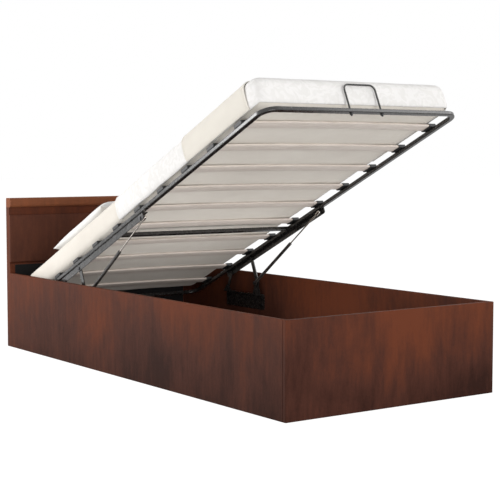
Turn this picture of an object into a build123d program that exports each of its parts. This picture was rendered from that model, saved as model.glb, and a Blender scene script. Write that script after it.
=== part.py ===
from build123d import *
from math import cos, radians, sin
import os

# A single ottoman bed, shown with its slatted deck lifted. +Z is up, +Y points to the headboard
# and the origin is on the floor under the middle of the bed. Sizes are in millimetres.

# Storage base
bed_length = 2120.0
bed_width = 950.0
base_height = 336.0
panel_thickness = 18.0
panel_edge_radius = 3.0
panel_gap = 0.5

# Headboard, from its lower board up to the padded roll
headboard_height = 677.0
headboard_depth = 36.0
headboard_lower_height = 380.0
headboard_seam_radius = 3.0
headboard_recess = 4.0
pad_proud = 4.0
pad_bottom = 386.0
pad_top = 600.0
pad_edge_radius = 3.5
roll_height = 42.0
roll_proud = 12.0
roll_radius = 15.0
lining_thickness = 2.0
lining_margin = 6.0

# Storage floor
batten_height = 20.0
batten_width = 60.0
batten_end_distance = 333.0
bottom_thickness = 5.0

# Corner brackets and their screws
corner_height = 60.0
corner_arm = 45.0
corner_tall = 60.0
corner_thickness = 2.5
corner_screw_inset = 30.0
corner_screw_spacing = 34.0
screw_radius = 2.0
screw_head_radius = 4.0
screw_head_height = 2.0
screw_depth = 13.0

# Lift linkage: pivots on the base, measured from the rim and from the headboard's face
deck_tilt = 24.5
front_pivot_drop = 43.34
front_pivot_from_head = 653.01
rear_pivot_behind = 233.51
rear_pivot_below = 35.16
front_link_length = 115.0
front_link_open_angle = 67.0
link_width = 22.0
rear_link_width = 16.0
link_thickness = 4.0
link_gap = 1.0
pivot_radius = 4.0
running_clearance = 0.05
pivot_head_radius = 7.0
pivot_head_height = 3.0
open_pivot_gap = 0.3

# Lift bracket, bolted to the inner face of the side panel
bracket_thickness = 4.0
bracket_length = 300.0
bracket_depth = 70.0
bracket_ahead = 31.0
shelf_drop = 96.0
tab_thickness = 3.0
tab_root = 60.0
bracket_bolt_inset = 20.0
bracket_bolt_radius = 4.0
bracket_bolt_head_radius = 7.0
bracket_bolt_head_height = 4.0
bracket_bolt_depth = 13.0

# Gas strut
strut_top_from_end = 1072.0
strut_radius = 7.0
strut_wall = 1.4
strut_length = 328.0
strut_end_gap = 20.0
strut_neck_radius = 4.5
strut_gland_length = 14.0
strut_eye_radius = 9.0
strut_eye_thickness = 10.0
strut_tab_gap = 0.5
rod_radius = 3.0
rod_engagement = 42.0
piston_length = 12.0
rod_clearance = 0.08
socket_radius = 6.5
socket_length = 24.0

# Deck frame: v runs along the deck to the head end, w is square to it, up from the slats' middle.
# Places along it are distances from its head end, and some from its foot end.
deck_end_room = 86.0
deck_side_gap = 7.0
rail_width = 20.0
rail_height = 15.0
rail_wall = 1.5
rail_radius = 3.0
bow_radius = 60.0
bow_leg = 100.0
rail_joint_gap = 0.5
sleeve_length = 70.0
sleeve_clearance = 0.1
cross_tube_from_head = 835.0

# Slats in their end caps
slat_count = 10
slat_first_from_head = 140.75
slat_last_from_foot = 160.75
slat_width = 45.0
slat_thickness = 8.0
slat_crown = 5.0
slat_edge_radius = 2.0
cap_length = 35.0
cap_width = 50.0
cap_height = 15.0
cap_end_wall = 4.5
cap_radius = 4.0
cap_clearance = 0.3
peg_radius = 3.0
peg_length = 6.0

# Carrier angle under each side rail, which the links and the strut hold
carrier_foot_margin = 25.0
carrier_head_margin = 40.0
carrier_thickness = 3.0
carrier_shelf_width = 24.5
carrier_inset = 5.5
carrier_reach = 48.0
carrier_pivot_w = -38.0
carrier_corner_radius = 10.0
front_pivot_from_end = 520.0
rear_pivot_from_end = 340.0
carrier_bolt_radius = 3.0
carrier_bolt_head_radius = 5.2
carrier_bolt_head_height = 3.5
carrier_bolts_from_end = (1030.0, 900.0, 770.0, 460.0, 314.0)

# Mattress stop: a bent rod that stands on the foot tube
hoop_width = 148.0
hoop_height = 100.0
hoop_rod_radius = 3.5
hoop_bend_radius = 22.0
hoop_tail = 10.0
nut_radius = 6.5
nut_height = 5.5

# Soft parts
mattress_side_inset = 15.0
mattress_head_inset = 10.5
mattress_foot_inset = 30.5
mattress_depth = 109.5
mattress_lift = 0.3
mattress_corner_radius = 40.0
mattress_edge_radius = 28.0
cloth_gap = 0.3
quilt_thickness = 5.5
quilt_head_from_end = 907.0
quilt_hem_w = 14.0
runner_thickness = 3.4
runner_head_from_foot = 519.0
runner_foot_from_foot = 84.0
pillow_side_inset = 35.0
pillow_length = 508.0
pillow_middle_from_end = 463.0
pillow_thickness = 100.0
pillow_corner_radius = 70.0
pillow_side_draw = 9.0
pillow_crown_drop = 14.0
pillow_crown_radius = 2200.0
pillow_top_edge = 34.0
pillow_bottom_edge = 30.0

# Places that follow from the sizes above
inner_half_width = bed_width / 2 - panel_thickness
foot_inner_y = -bed_length / 2 + panel_thickness
head_front_y = bed_length / 2 - headboard_depth
side_length = head_front_y - foot_inner_y
side_middle_y = (head_front_y + foot_inner_y) / 2
deck_width = 2 * (inner_half_width - deck_side_gap)
deck_length = side_length - deck_end_room
head_end_v = deck_length / 2
foot_end_v = -deck_length / 2
front_pivot_v = head_end_v - front_pivot_from_end
rear_pivot_v = head_end_v - rear_pivot_from_end
strut_top_v = head_end_v - strut_top_from_end
carrier_foot_v = strut_top_v - carrier_foot_margin
carrier_head_v = rear_pivot_v + carrier_head_margin
carrier_bolt_v = [head_end_v - distance for distance in carrier_bolts_from_end]
cross_tube_v = head_end_v - cross_tube_from_head

front_base = Vector(0, head_front_y - front_pivot_from_head, base_height - front_pivot_drop)
rear_base = front_base + Vector(0, rear_pivot_behind, -rear_pivot_below)
front_top = front_base + front_link_length * Vector(
    0, cos(radians(front_link_open_angle)), sin(radians(front_link_open_angle))
)

along = Vector(0, cos(radians(deck_tilt)), -sin(radians(deck_tilt)))
normal = Vector(0, sin(radians(deck_tilt)), cos(radians(deck_tilt)))
deck_origin = front_top - along * front_pivot_v - normal * carrier_pivot_w
deck = Plane(origin=deck_origin, x_dir=(1, 0, 0), z_dir=normal)
deck_normal = Axis(deck_origin, normal)

rear_top = deck.from_local_coords((0, rear_pivot_v, carrier_pivot_w))
strut_top = deck.from_local_coords((0, strut_top_v, carrier_pivot_w))

rail_top_w = -cap_height / 2
rail_middle_w = rail_top_w - rail_height / 2
rail_bottom_w = rail_top_w - rail_height
rail_x = deck_width / 2 - rail_width / 2
bow_joint_v = deck_length / 2 - bow_leg
hoop_v = -deck_length / 2 + rail_width / 2

carrier_outer_x = deck_width / 2 - carrier_inset
carrier_inner_x = carrier_outer_x - carrier_thickness
carrier_bolt_x = carrier_inner_x - carrier_bolt_head_radius - link_gap / 2
link_outer_x = carrier_inner_x - link_gap
link_inner_x = link_outer_x - link_thickness
tab_outer_x = link_inner_x - link_gap
tab_inner_x = tab_outer_x - tab_thickness
strut_x = tab_inner_x - strut_tab_gap - strut_radius
shelf_z = base_height - shelf_drop
bracket_start_y = front_base.Y - bracket_ahead
bracket_plate_x = inner_half_width - bracket_thickness

mattress_width = deck_width - 2 * mattress_side_inset
mattress_head_v = head_end_v - mattress_head_inset
mattress_foot_v = foot_end_v + mattress_foot_inset
mattress_length = mattress_head_v - mattress_foot_v
quilt_head_v = head_end_v - quilt_head_from_end
runner_head_v = foot_end_v + runner_head_from_foot
runner_foot_v = foot_end_v + runner_foot_from_foot
pillow_width = mattress_width - 2 * pillow_side_inset
pillow_middle_v = head_end_v - pillow_middle_from_end
mattress_bottom_w = slat_thickness / 2 + slat_crown + mattress_lift
slat_first_v = head_end_v - slat_first_from_head
slat_pitch = (slat_first_v - foot_end_v - slat_last_from_foot) / (slat_count - 1)
slat_places = [slat_first_v - slat_pitch * i for i in range(slat_count)]
bracket_bolt_places = [
    (bracket_start_y + y, shelf_z - z)
    for y in (bracket_bolt_inset, bracket_length - bracket_bolt_inset)
    for z in (bracket_bolt_inset, bracket_depth - bracket_bolt_inset)
]
corner_screw_heights = [
    corner_height + corner_tall / 2 + side * corner_screw_spacing / 2 for side in (-1, 1)
]


def level(w):
    """The plane parallel to the deck at height w."""
    return deck.offset(w)


def across(v):
    """The plane square to the deck's length at v, with axes X and w, facing the foot end."""
    return Plane(origin=deck.from_local_coords((0, v, 0)), x_dir=(1, 0, 0), z_dir=-along)


def beside(x):
    """The plane at x with axes v and w, facing +X."""
    return Plane(origin=deck.from_local_coords((x, 0, 0)), x_dir=along, z_dir=(1, 0, 0))


def upright(y):
    """The upright plane at y with axes X and Z, facing the foot end."""
    return Plane(origin=(0, y, 0), x_dir=(1, 0, 0), z_dir=(0, -1, 0))


def strut_plane(distance):
    """The plane square to the right-hand strut, at a distance from its lower pivot."""
    direction = (strut_top - front_base).normalized()
    start = front_base + Vector(strut_x, 0, 0) + direction * distance
    return Plane(origin=start, x_dir=(1, 0, 0), z_dir=direction)


def finish(builder, name):
    """Label a finished piece and write it."""
    builder.part.label = name
    export_step(builder.part, f"parts/{name}.step")


def mirrored(builder, name):
    """Write the left-hand copy of a right-hand piece."""
    with BuildPart() as other:
        mirror(builder.part, about=Plane.YZ)
    finish(other, name)


def tube_section():
    """The closed section of the deck tube, on the current sketch."""
    RectangleRounded(rail_width, rail_height, rail_radius)
    RectangleRounded(
        rail_width - 2 * rail_wall,
        rail_height - 2 * rail_wall,
        rail_radius - rail_wall,
        mode=Mode.SUBTRACT,
    )


os.makedirs("parts", exist_ok=True)

# Side panels, with blind holes for the lift bracket's bolts and the corner screws
with BuildPart() as side_panel_right:
    with BuildSketch(Plane.YZ.offset(inner_half_width)):
        with Locations((side_middle_y, base_height / 2)):
            Rectangle(side_length, base_height)
    extrude(amount=panel_thickness)
    fillet(
        side_panel_right.edges().filter_by(Axis.Y).group_by(Axis.Z)[-1],
        panel_edge_radius,
    )
    with BuildSketch(Plane.YZ.offset(inner_half_width)):
        with Locations(*bracket_bolt_places):
            Circle(bracket_bolt_radius + running_clearance)
    extrude(amount=bracket_bolt_depth + running_clearance, mode=Mode.SUBTRACT)
    with BuildSketch(Plane.YZ.offset(inner_half_width)):
        for z in corner_screw_heights:
            with Locations(
                (foot_inner_y + corner_screw_inset, z), (head_front_y - corner_screw_inset, z)
            ):
                Circle(screw_radius + running_clearance)
    extrude(amount=screw_depth + running_clearance, mode=Mode.SUBTRACT)
finish(side_panel_right, "side_panel_right")
mirrored(side_panel_right, "side_panel_left")


def end_screw_holes():
    """Circles for the corner screws in an end board, on the current sketch."""
    for z in corner_screw_heights:
        for side in (-1, 1):
            with Locations((side * (inner_half_width - corner_screw_inset), z)):
                Circle(screw_radius + running_clearance)


# Foot panel, which covers the ends of both side panels
with BuildPart() as foot_panel:
    with BuildSketch(upright(foot_inner_y)):
        with Locations((0, base_height / 2)):
            Rectangle(bed_width, base_height)
    extrude(amount=panel_thickness)
    fillet(foot_panel.edges().filter_by(Axis.X).group_by(Axis.Z)[-1], panel_edge_radius)
    fillet(foot_panel.edges().filter_by(Axis.Z).group_by(Axis.Y)[0], panel_edge_radius)
    with BuildSketch(upright(foot_inner_y)):
        end_screw_holes()
    extrude(amount=screw_depth + running_clearance, mode=Mode.SUBTRACT)
finish(foot_panel, "foot_panel")

# Lower board of the headboard
with BuildPart() as headboard_lower:
    with BuildSketch(upright(bed_length / 2)):
        with Locations((0, headboard_lower_height / 2)):
            Rectangle(bed_width, headboard_lower_height)
    extrude(amount=headboard_depth)
    fillet(
        headboard_lower.edges().filter_by(Axis.X).group_by(Axis.Z)[-1],
        headboard_seam_radius,
    )
    with BuildSketch(upright(head_front_y)):
        end_screw_holes()
    extrude(amount=-screw_depth - running_clearance, mode=Mode.SUBTRACT)
finish(headboard_lower, "headboard_lower")

# Upper board of the headboard, set back behind its pad and its roll
with BuildPart() as headboard_upper:
    with BuildSketch(upright(bed_length / 2)):
        with Locations((0, (headboard_lower_height + headboard_height - roll_height) / 2)):
            Rectangle(bed_width, headboard_height - roll_height - headboard_lower_height)
    extrude(amount=headboard_depth - headboard_recess)
    fillet(
        headboard_upper.edges().filter_by(Axis.X).group_by(Axis.Z)[0],
        headboard_seam_radius,
    )
finish(headboard_upper, "headboard_upper")

# Pad across the face of the upper board
with BuildPart() as headboard_pad:
    with BuildSketch(upright(head_front_y + headboard_recess)):
        with Locations((0, (pad_bottom + pad_top) / 2)):
            Rectangle(bed_width, pad_top - pad_bottom)
    extrude(amount=headboard_recess + pad_proud)
    fillet(headboard_pad.faces().sort_by(Axis.Y)[0].edges(), pad_edge_radius)
finish(headboard_pad, "headboard_pad")

# Padded roll along the top
with BuildPart() as headboard_roll:
    with BuildSketch(Plane.YZ.offset(-bed_width / 2)):
        with Locations(
            (
                (head_front_y - roll_proud + bed_length / 2) / 2,
                headboard_height - roll_height / 2,
            )
        ):
            Rectangle(headboard_depth + roll_proud, roll_height)
    extrude(amount=bed_width)
    fillet(headboard_roll.edges().filter_by(Axis.X).group_by(Axis.Y)[0], roll_radius)
    fillet(
        headboard_roll.edges().filter_by(Axis.X).sort_by(Axis.Y)[-2:].sort_by(Axis.Z)[-1],
        roll_radius / 2,
    )
finish(headboard_roll, "headboard_roll")

# Thin lining board between the side panels, against the lower board
with BuildPart() as headboard_lining:
    with BuildSketch(upright(head_front_y)):
        with Locations((0, (corner_height + corner_tall + headboard_lower_height) / 2)):
            Rectangle(
                2 * inner_half_width - 2 * lining_margin,
                headboard_lower_height - corner_height - corner_tall - 2 * lining_margin,
            )
    extrude(amount=lining_thickness)
finish(headboard_lining, "headboard_lining")

# Storage floor: three battens carry two boards that meet over the middle one
for name, place in (("foot", -1), ("middle", 0), ("head", 1)):
    with BuildPart() as batten:
        with BuildSketch(Plane.XY):
            with Locations((0, side_middle_y + place * (side_length / 2 - batten_end_distance))):
                Rectangle(2 * inner_half_width, batten_width)
        extrude(amount=batten_height)
    finish(batten, f"bottom_batten_{name}")

for name, start, end in (
    ("foot", foot_inner_y, side_middle_y),
    ("head", side_middle_y, head_front_y),
):
    with BuildPart() as bottom_board:
        with BuildSketch(Plane.XY.offset(batten_height)):
            with Locations((0, (start + end) / 2)):
                Rectangle(2 * (inner_half_width - panel_gap), end - start - 2 * panel_gap)
        extrude(amount=bottom_thickness)
    finish(bottom_board, f"bottom_board_{name}")


def corner_places():
    """The four inner corners of the base: side, y of the end board, and the way inwards from it."""
    for side in (-1, 1):
        for y, inward in ((foot_inner_y, 1), (head_front_y, -1)):
            yield side, y, inward


# Corner brackets low down in the four inner corners
with BuildPart() as corner_brackets:
    for side, y, inward in corner_places():
        x = side * inner_half_width
        with BuildSketch(Plane.XY.offset(corner_height)):
            with BuildLine():
                Polyline(
                    (x, y),
                    (x - side * corner_arm, y),
                    (x - side * corner_arm, y + inward * corner_thickness),
                    (x - side * corner_thickness, y + inward * corner_thickness),
                    (x - side * corner_thickness, y + inward * corner_arm),
                    (x, y + inward * corner_arm),
                    close=True,
                )
            make_face()
        extrude(amount=corner_tall)
    for z in corner_screw_heights:
        for side, y, inward in corner_places():
            x = side * inner_half_width
            with BuildSketch(Plane.YZ.offset(x - side * corner_thickness)):
                with Locations((y + inward * corner_screw_inset, z)):
                    Circle(screw_radius + running_clearance)
            extrude(amount=side * corner_thickness, mode=Mode.SUBTRACT)
            with BuildSketch(upright(y + inward * corner_thickness)):
                with Locations((x - side * corner_screw_inset, z)):
                    Circle(screw_radius + running_clearance)
            extrude(amount=inward * corner_thickness, mode=Mode.SUBTRACT)
finish(corner_brackets, "corner_brackets")

# Screws of the corner brackets, their heads on the steel and their shanks in the boards
with BuildPart() as bracket_screws:
    for z in corner_screw_heights:
        for side, y, inward in corner_places():
            x = side * inner_half_width
            side_plane = Plane(
                origin=(x - side * corner_thickness, y + inward * corner_screw_inset, z),
                z_dir=(side, 0, 0),
            )
            end_plane = Plane(
                origin=(x - side * corner_screw_inset, y + inward * corner_thickness, z),
                z_dir=(0, -inward, 0),
            )
            for plane in (side_plane, end_plane):
                with BuildSketch(plane):
                    Circle(screw_radius)
                extrude(amount=corner_thickness + screw_depth)
                with BuildSketch(plane):
                    Circle(screw_head_radius)
                extrude(amount=-screw_head_height)
finish(bracket_screws, "bracket_screws")

# Lift bracket: a wall plate, a shelf turned inwards and two tabs that carry the pivots
with BuildPart() as lift_bracket_right:
    with BuildSketch(Plane.YZ.offset(bracket_plate_x)):
        with Locations((bracket_start_y + bracket_length / 2, shelf_z - bracket_depth / 2)):
            RectangleRounded(bracket_length, bracket_depth, bracket_bolt_inset / 2)
    extrude(amount=bracket_thickness)
    with BuildSketch(Plane.XY.offset(shelf_z)):
        with Locations(
            (
                (tab_inner_x + inner_half_width) / 2,
                bracket_start_y + bracket_length / 2,
            )
        ):
            Rectangle(inner_half_width - tab_inner_x, bracket_length - bracket_bolt_inset)
    extrude(amount=-bracket_thickness)
    for pivot in (front_base, rear_base):
        with BuildSketch(Plane.YZ.offset(tab_inner_x)):
            with Locations((pivot.Y, pivot.Z)):
                Circle(link_width / 2)
            with Locations((pivot.Y, shelf_z - bracket_thickness / 2)):
                Rectangle(tab_root, bracket_thickness)
            make_hull()
        extrude(amount=tab_thickness)
    with BuildSketch(Plane.YZ.offset(tab_inner_x)):
        with Locations((front_base.Y, front_base.Z), (rear_base.Y, rear_base.Z)):
            Circle(pivot_radius + running_clearance)
    extrude(amount=tab_thickness, mode=Mode.SUBTRACT)
    with BuildSketch(Plane.YZ.offset(bracket_plate_x)):
        with Locations(*bracket_bolt_places):
            Circle(bracket_bolt_radius + running_clearance)
    extrude(amount=bracket_thickness, mode=Mode.SUBTRACT)
finish(lift_bracket_right, "lift_bracket_right")
mirrored(lift_bracket_right, "lift_bracket_left")


def both_sides(name, builder):
    """Write one node that holds a right-hand piece and its mirror image."""
    with BuildPart() as pair:
        add(builder.part)
        mirror(builder.part, about=Plane.YZ)
    finish(pair, name)


# Bolts of the lift brackets
with BuildPart() as bracket_bolts:
    with BuildSketch(Plane.YZ.offset(bracket_plate_x)):
        with Locations(*bracket_bolt_places):
            Circle(bracket_bolt_radius)
    extrude(amount=bracket_thickness + bracket_bolt_depth)
    with BuildSketch(Plane.YZ.offset(bracket_plate_x)):
        with Locations(*bracket_bolt_places):
            RegularPolygon(bracket_bolt_head_radius, 6)
    extrude(amount=-bracket_bolt_head_height)
both_sides("lift_bracket_bolts", bracket_bolts)

# Fixed pivot pins: the front one also carries the strut's eye
eye_inner_x = strut_x - strut_eye_thickness / 2
pin_end_x = (link_outer_x + carrier_inner_x) / 2
with BuildPart() as base_pins:
    for pivot, inner_x in ((front_base, eye_inner_x - strut_tab_gap), (rear_base, tab_inner_x)):
        with BuildSketch(Plane.YZ.offset(inner_x)):
            with Locations((pivot.Y, pivot.Z)):
                Circle(pivot_radius)
        extrude(amount=pin_end_x - inner_x)
        with BuildSketch(Plane.YZ.offset(inner_x)):
            with Locations((pivot.Y, pivot.Z)):
                Circle(pivot_head_radius)
        extrude(amount=-pivot_head_height)
both_sides("base_pivot_pins", base_pins)


def link(lower, upper, width):
    """A flat link with rounded ends between two pivots, on the right-hand side."""
    middle = (lower + upper) / 2
    reach = upper - lower
    frame = Plane(origin=(link_inner_x, middle.Y, middle.Z), x_dir=reach, z_dir=(1, 0, 0))
    half = reach.length / 2
    with BuildPart() as bar:
        with BuildSketch(frame):
            SlotCenterToCenter(reach.length, width)
            with Locations((-half, 0), (half, 0)):
                Circle(pivot_radius + running_clearance, mode=Mode.SUBTRACT)
        extrude(amount=link_thickness)
    return bar


front_link = link(front_base, front_top, link_width)
finish(front_link, "front_link_right")
mirrored(front_link, "front_link_left")
rear_link = link(rear_base, rear_top, rear_link_width)
finish(rear_link, "rear_link_right")
mirrored(rear_link, "rear_link_left")

# Gas strut cylinder: an eye on the front pivot, a neck, and a tube with a gland
strut_reach = (strut_top - front_base).length
bore_radius = rod_radius + rod_clearance
chamber_radius = strut_radius - strut_wall
with BuildPart() as strut_cylinder_right:
    with BuildSketch(strut_plane(strut_end_gap)):
        Circle(strut_radius)
    extrude(amount=strut_length - strut_end_gap)
    with BuildSketch(strut_plane(strut_length)):
        Circle(bore_radius)
    extrude(amount=-strut_gland_length, mode=Mode.SUBTRACT)
    with BuildSketch(strut_plane(strut_length - strut_gland_length)):
        Circle(chamber_radius)
    extrude(
        amount=-(strut_length - strut_gland_length - strut_end_gap - 2 * strut_gland_length),
        mode=Mode.SUBTRACT,
    )
    with BuildSketch(strut_plane(0)):
        Circle(strut_neck_radius)
    extrude(amount=strut_end_gap)
    with BuildSketch(Plane.YZ.offset(strut_x - strut_eye_thickness / 2)):
        with Locations((front_base.Y, front_base.Z)):
            Circle(strut_eye_radius)
    extrude(amount=strut_eye_thickness)
    with BuildSketch(Plane.YZ.offset(strut_x - strut_eye_thickness / 2)):
        with Locations((front_base.Y, front_base.Z)):
            Circle(pivot_radius + running_clearance)
    extrude(amount=strut_eye_thickness, mode=Mode.SUBTRACT)
finish(strut_cylinder_right, "strut_cylinder_right")
mirrored(strut_cylinder_right, "strut_cylinder_left")

# Gas strut rod: a piston inside the tube, the bright rod and a socket at the deck end
with BuildPart() as strut_rod_right:
    with BuildSketch(strut_plane(strut_length - rod_engagement)):
        Circle(rod_radius)
    extrude(amount=strut_reach - strut_length + rod_engagement)
    with BuildSketch(strut_plane(strut_length - rod_engagement)):
        Circle(chamber_radius - rod_clearance)
    extrude(amount=piston_length)
    with BuildSketch(strut_plane(strut_reach - socket_length / 2)):
        Circle(socket_radius)
    extrude(amount=socket_length)
    fillet(
        strut_rod_right.faces().sort_by(Axis(strut_plane(0).origin, strut_plane(0).z_dir))[-1].edges(),
        socket_radius / 2,
    )
finish(strut_rod_right, "strut_rod_right")
mirrored(strut_rod_right, "strut_rod_left")

# Side rails, with peg holes for the slat caps and bolt holes for the carrier
rail_length = 2 * bow_joint_v - 2 * rail_joint_gap
with BuildPart() as side_rail_right:
    with BuildSketch(across(bow_joint_v - rail_joint_gap)):
        with Locations((rail_x, rail_middle_w)):
            tube_section()
    extrude(amount=rail_length)
    with BuildSketch(level(rail_top_w)):
        with Locations(*[(rail_x, v) for v in slat_places]):
            Circle(peg_radius + running_clearance)
    extrude(amount=-rail_height / 2, mode=Mode.SUBTRACT)
    with BuildSketch(level(rail_bottom_w)):
        with Locations(*[(carrier_bolt_x, v) for v in carrier_bolt_v]):
            Circle(carrier_bolt_radius + running_clearance)
    extrude(amount=rail_height / 2, mode=Mode.SUBTRACT)
finish(side_rail_right, "side_rail_right")
mirrored(side_rail_right, "side_rail_left")

# Bows that close the deck frame at both ends, and the sleeves inside their joints
hoop_x = hoop_width / 2 - hoop_rod_radius
for name, end in (("foot", -1), ("head", 1)):
    with BuildPart() as bow:
        with BuildLine(level(rail_middle_w)) as path:
            FilletPolyline(
                (rail_x, end * bow_joint_v),
                (rail_x, end * (deck_length - rail_width) / 2),
                (-rail_x, end * (deck_length - rail_width) / 2),
                (-rail_x, end * bow_joint_v),
                radius=bow_radius - rail_width / 2,
            )
        with BuildSketch(Plane(origin=path.line @ 0, x_dir=(1, 0, 0), z_dir=path.line % 0)):
            tube_section()
        sweep()
        if name == "foot":
            with BuildSketch(level(rail_top_w)):
                with Locations((-hoop_x, hoop_v), (hoop_x, hoop_v)):
                    Circle(hoop_rod_radius + running_clearance)
            extrude(amount=-rail_height, mode=Mode.SUBTRACT)
    finish(bow, f"{name}_bow")

with BuildPart() as sleeve:
    for v in (bow_joint_v + sleeve_length / 2, -bow_joint_v + sleeve_length / 2):
        with BuildSketch(across(v)):
            with Locations((rail_x, rail_middle_w)):
                RectangleRounded(
                    rail_width - 2 * rail_wall - 2 * sleeve_clearance,
                    rail_height - 2 * rail_wall - 2 * sleeve_clearance,
                    rail_radius - rail_wall,
                )
                RectangleRounded(
                    rail_width - 4 * rail_wall - 2 * sleeve_clearance,
                    rail_height - 4 * rail_wall - 2 * sleeve_clearance,
                    rail_wall / 2,
                    mode=Mode.SUBTRACT,
                )
        extrude(amount=sleeve_length)
both_sides("rail_sleeves", sleeve)

# Cross tube welded between the side rails
with BuildPart() as cross_tube:
    with BuildSketch(beside(-deck_width / 2 + rail_width)):
        with Locations((cross_tube_v, rail_middle_w)):
            tube_section()
    extrude(amount=deck_width - 2 * rail_width)
finish(cross_tube, "cross_tube")

# Sprung slats, bowed upwards between their caps
slat_end_x = deck_width / 2 - cap_end_wall - cap_clearance
for number, v in enumerate(slat_places, start=1):
    with BuildPart() as slat:
        with BuildSketch(across(v + slat_width / 2)):
            with BuildLine():
                upper = ThreePointArc(
                    (-slat_end_x, slat_thickness / 2),
                    (0, slat_thickness / 2 + slat_crown),
                    (slat_end_x, slat_thickness / 2),
                )
                lower = ThreePointArc(
                    (-slat_end_x, -slat_thickness / 2),
                    (0, -slat_thickness / 2 + slat_crown),
                    (slat_end_x, -slat_thickness / 2),
                )
                Line(upper @ 0, lower @ 0)
                Line(upper @ 1, lower @ 1)
            make_face()
        extrude(amount=slat_width)
        fillet(slat.edges().filter_by(GeomType.CIRCLE), slat_edge_radius)
    finish(slat, f"slat_{number}")

# Slat caps: a moulded pocket with a rounded end and a peg that sits in the rail
pocket_rise = slat_crown * (1 - ((deck_width / 2 - cap_length) / slat_end_x) ** 2)
with BuildPart() as slat_cap:
    for v in slat_places:
        with BuildSketch(beside(deck_width / 2)):
            with Locations((v, 0)):
                RectangleRounded(cap_width, cap_height, cap_radius)
        extrude(amount=-cap_length)
    chamfer(
        slat_cap.faces().filter_by(Axis.X).group_by(Axis.X)[-1].edges(),
        cap_radius / 2,
    )
    for v in slat_places:
        with BuildSketch(beside(deck_width / 2 - cap_length)):
            with Locations((v, pocket_rise / 2)):
                Rectangle(
                    slat_width + 2 * cap_clearance,
                    slat_thickness + pocket_rise + 2 * cap_clearance,
                )
        extrude(amount=cap_length - cap_end_wall, mode=Mode.SUBTRACT)
    with BuildSketch(level(rail_top_w)):
        with Locations(*[(rail_x, v) for v in slat_places]):
            Circle(peg_radius)
    extrude(amount=-peg_length)
finish(slat_cap, "slat_caps_right")
mirrored(slat_cap, "slat_caps_left")

# Carriers: an upright leg that holds the pivots, welded under a flat leg that is bolted to the rail
carrier_length = carrier_head_v - carrier_foot_v
carrier_middle_v = (carrier_head_v + carrier_foot_v) / 2
carrier_flat_bottom_w = rail_bottom_w - carrier_thickness
with BuildPart() as carrier_right:
    with BuildSketch(beside(carrier_inner_x)):
        with Locations((carrier_middle_v, (carrier_flat_bottom_w - carrier_reach) / 2)):
            Rectangle(carrier_length, carrier_reach + carrier_flat_bottom_w)
    extrude(amount=carrier_thickness)
    fillet(
        carrier_right.edges().filter_by(Axis.X).group_by(deck_normal)[0],
        carrier_corner_radius,
    )
    with BuildSketch(beside(carrier_inner_x)):
        with Locations(*[(v, carrier_pivot_w) for v in (strut_top_v, front_pivot_v, rear_pivot_v)]):
            Circle(pivot_radius + running_clearance)
    extrude(amount=carrier_thickness, mode=Mode.SUBTRACT)
finish(carrier_right, "carrier_right")
mirrored(carrier_right, "carrier_left")

with BuildPart() as carrier_flat_right:
    with BuildSketch(level(rail_bottom_w)):
        with Locations((carrier_outer_x - carrier_shelf_width / 2, carrier_middle_v)):
            Rectangle(carrier_shelf_width, carrier_length)
        with Locations(*[(carrier_bolt_x, v) for v in carrier_bolt_v]):
            Circle(carrier_bolt_radius + running_clearance, mode=Mode.SUBTRACT)
    extrude(amount=-carrier_thickness)
finish(carrier_flat_right, "carrier_flat_right")
mirrored(carrier_flat_right, "carrier_flat_left")

# Bolts that hold the carriers to the rails, from below
with BuildPart() as carrier_bolts:
    with BuildSketch(level(rail_bottom_w - carrier_thickness)):
        with Locations(*[(carrier_bolt_x, v) for v in carrier_bolt_v]):
            Circle(carrier_bolt_radius)
    extrude(amount=carrier_thickness + rail_height / 2)
    with BuildSketch(level(rail_bottom_w - carrier_thickness)):
        with Locations(*[(carrier_bolt_x, v) for v in carrier_bolt_v]):
            RegularPolygon(carrier_bolt_head_radius, 6)
    extrude(amount=-carrier_bolt_head_height)
both_sides("carrier_bolts", carrier_bolts)

# Pivot pins on the carriers: through the front link, and up to the rear link and the socket
socket_face_x = strut_x + socket_radius
deck_pin_ends = (
    (front_pivot_v, link_inner_x - link_gap / 2),
    (rear_pivot_v, link_outer_x + open_pivot_gap),
    (strut_top_v, socket_face_x + open_pivot_gap),
)
with BuildPart() as deck_pins:
    for v, inner_x in deck_pin_ends:
        with BuildSketch(beside(inner_x)):
            with Locations((v, carrier_pivot_w)):
                Circle(pivot_radius)
        extrude(amount=carrier_outer_x - inner_x)
        with BuildSketch(beside(carrier_outer_x)):
            with Locations((v, carrier_pivot_w)):
                Circle(pivot_head_radius)
        extrude(amount=pivot_head_height)
    with BuildSketch(beside(link_inner_x - link_gap / 2)):
        with Locations((front_pivot_v, carrier_pivot_w)):
            Circle(pivot_head_radius)
    extrude(amount=-pivot_head_height)
both_sides("deck_pivot_pins", deck_pins)

# Mattress stop: the rod goes through the foot tube and is held by nuts below it
with BuildPart() as mattress_stop_hoop:
    with BuildLine(across(hoop_v)) as path:
        FilletPolyline(
            (hoop_x, rail_bottom_w - hoop_tail),
            (hoop_x, rail_top_w + hoop_height - hoop_rod_radius),
            (-hoop_x, rail_top_w + hoop_height - hoop_rod_radius),
            (-hoop_x, rail_bottom_w - hoop_tail),
            radius=hoop_bend_radius,
        )
    with BuildSketch(Plane(origin=path.line @ 0, x_dir=(1, 0, 0), z_dir=path.line % 0)):
        Circle(hoop_rod_radius)
    sweep()
finish(mattress_stop_hoop, "mattress_stop_hoop")

with BuildPart() as hoop_nuts:
    with BuildSketch(level(rail_bottom_w)):
        with Locations((-hoop_x, hoop_v), (hoop_x, hoop_v)):
            RegularPolygon(nut_radius, 6)
            Circle(hoop_rod_radius + running_clearance, mode=Mode.SUBTRACT)
    extrude(amount=-nut_height)
finish(hoop_nuts, "hoop_nuts")


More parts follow.
